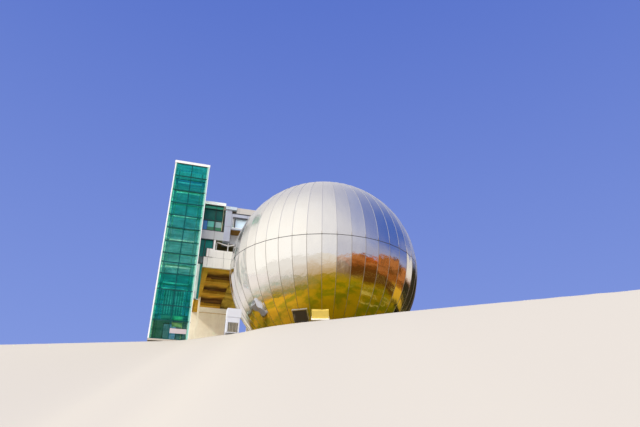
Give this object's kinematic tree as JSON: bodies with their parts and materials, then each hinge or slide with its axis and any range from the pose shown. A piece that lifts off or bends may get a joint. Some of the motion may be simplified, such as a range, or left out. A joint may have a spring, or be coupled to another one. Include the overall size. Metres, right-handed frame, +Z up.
{
  "type": "observatory building with a steel sphere dome",
  "caption": "Observatory: a stainless steel sphere of flat gores, joined by a raised gallery block to a glazed lift tower.",
  "frame": {"origin": "on the ground, on the sphere's vertical axis, at the underside of its ground slab", "axes": "+Z up, -Y towards the front, +X towards the sphere's free side, away from the lift tower"},
  "size_m": [23.745, 27.7475, 18.11],
  "materials": {
    "steel": "satin",
    "ring": "matte",
    "concrete": "matte",
    "white_panel": "satin",
    "pale_trim": "satin",
    "dark_frame": "satin",
    "teal_glass": "polished",
    "blue_glass": "polished",
    "dark_glass": "polished",
    "render": "matte",
    "ochre_soffit": "matte",
    "grey_case": "satin"
  },
  "bodies": {
    "root": {"upper_shell_1": "steel", "upper_shell_2": "steel", "upper_shell_3": "steel", "upper_shell_4": "steel", "upper_shell_5": "steel", "lower_shell_1": "steel", "lower_shell_2": "steel", "lower_shell_3": "steel", "lower_shell_4": "steel", "lower_shell_5": "steel", "crown_cap": "steel", "equator_ring": "ring", "foot_ring": "concrete", "ground_slab": "concrete", "dome_floor": "concrete", "hatch_frame": "pale_trim", "service_panel": "white_panel", "panel_ledge": "pale_trim", "tower_base": "concrete", "tower_front_frame": "pale_trim", "tower_back_frame": "pale_trim", "tower_left_frame": "pale_trim", "tower_right_frame": "pale_trim", "tower_front_glass": "teal_glass", "tower_back_glass": "teal_glass", "tower_left_glass": "teal_glass", "tower_right_glass": "teal_glass", "tower_roof": "pale_trim", "deck_slab": "ochre_soffit", "upper_floor": "white_panel", "left_wall": "white_panel", "rear_wall": "white_panel", "right_wall": "white_panel", "left_glass": "blue_glass", "rear_glass": "blue_glass", "right_glass": "blue_glass", "deck_fascia": "white_panel", "terrace_parapet": "white_panel", "terrace_post": "pale_trim", "link_frame_lower": "dark_frame", "link_frame_upper": "dark_frame", "link_glass": "dark_glass", "front_spandrel": "white_panel", "front_coping": "pale_trim", "front_pier": "white_panel", "pier_cap": "pale_trim", "roof_fascia": "render", "bay_front": "white_panel", "bay_glass": "blue_glass", "bay_floor": "ochre_soffit", "terrace_back_wall": "white_panel", "roof_slab": "concrete", "roof_parapet": "white_panel", "lower_rear_wall": "render", "lower_rear_pier": "render", "deck_column_1": "white_panel", "deck_column_2": "white_panel", "condenser_plinth": "concrete", "condenser_case": "grey_case"}
  },
  "joints": []
}
